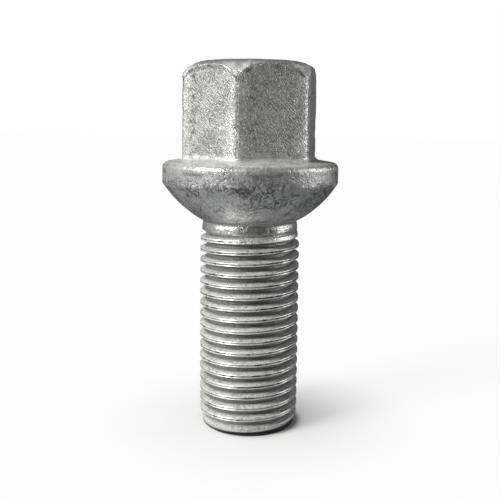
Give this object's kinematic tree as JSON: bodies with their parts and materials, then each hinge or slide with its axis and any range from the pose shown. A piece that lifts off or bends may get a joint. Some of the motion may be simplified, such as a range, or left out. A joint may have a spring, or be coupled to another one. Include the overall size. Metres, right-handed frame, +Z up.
{
  "type": "ball-seat wheel bolt",
  "caption": "One-piece steel wheel bolt with a hexagon head, a round collar over a ball seat, a short neck and a rolled thread down to a chamfered end.",
  "frame": {"origin": "centre of the threaded end's flat face, which the bolt stands on", "axes": "+Z up along the bolt's axis towards the head; two opposite flats of the hexagon face +X and -X"},
  "size_m": [0.024, 0.024, 0.0498],
  "materials": {
    "zinc_coated_steel": "grey zinc coating over forged steel, fine-grained and lightly scratched"
  },
  "bodies": {
    "root": {"wheel_bolt": "zinc_coated_steel"}
  },
  "joints": []
}
